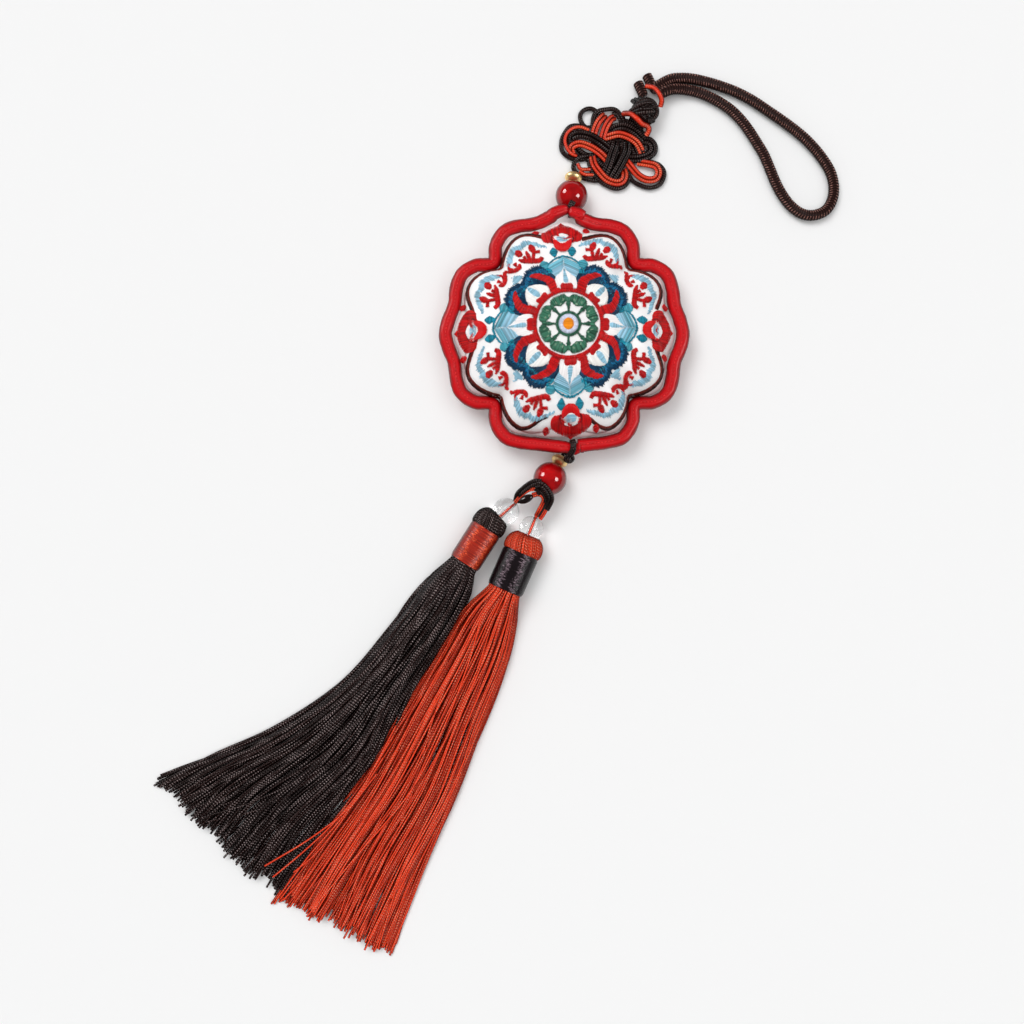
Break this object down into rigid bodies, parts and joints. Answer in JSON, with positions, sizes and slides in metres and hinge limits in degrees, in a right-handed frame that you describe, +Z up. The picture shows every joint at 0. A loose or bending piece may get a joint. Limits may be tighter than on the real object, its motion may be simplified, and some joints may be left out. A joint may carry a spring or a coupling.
{
  "type": "embroidered sachet with tassels",
  "caption": "Stuffed satin sachet with a lobed outline and a raised embroidered medallion, knotted strap, agate and glass beads and silk tassels, lying on its back.",
  "frame": {"origin": "middle of the pouch's flat back, on the surface that the sachet lies on", "axes": "+Z up out of the embroidered face, +Y from the tassels towards the strap, +X to the right as the embroidered face is seen from above"},
  "size_m": [0.2118, 0.2747, 0.0224],
  "materials": {
    "white_satin": "white polyester satin",
    "red_satin": "red satin piping",
    "silk_stitching": "dense coloured satin stitch",
    "dark_brown_cord": "dark red-brown rayon cord with a soft gloss",
    "orange_cord": "orange-red rayon cord with a soft gloss",
    "red_agate": "polished red agate",
    "gold_spacer": "polished gold plating",
    "clear_glass": "clear polished glass"
  },
  "bodies": {
    "root": {"pouch": "white_satin", "embroidered_patch": "silk_stitching", "rim_left": "red_satin", "rim_right": "red_satin", "top_agate_bead": "red_agate", "top_spacer": "gold_spacer", "top_thread": "dark_brown_cord", "top_tie": "dark_brown_cord", "mystic_knot": "dark_brown_cord", "button_knot": "dark_brown_cord", "neck_tie": "orange_cord", "strap_ring": "orange_cord", "strap_end_left": "dark_brown_cord", "strap_end_right": "dark_brown_cord", "strap_cord": "dark_brown_cord", "bottom_agate_bead": "red_agate", "bottom_spacer": "gold_spacer", "bottom_thread": "dark_brown_cord", "bottom_knot": "dark_brown_cord", "bottom_tie": "dark_brown_cord", "glass_bead_left": "clear_glass", "glass_bead_right": "clear_glass", "fork_cords": "dark_brown_cord", "dark_tassel": "dark_brown_cord", "dark_tassel_band": "orange_cord", "orange_tassel": "orange_cord", "orange_tassel_band": "dark_brown_cord"}
  },
  "joints": []
}
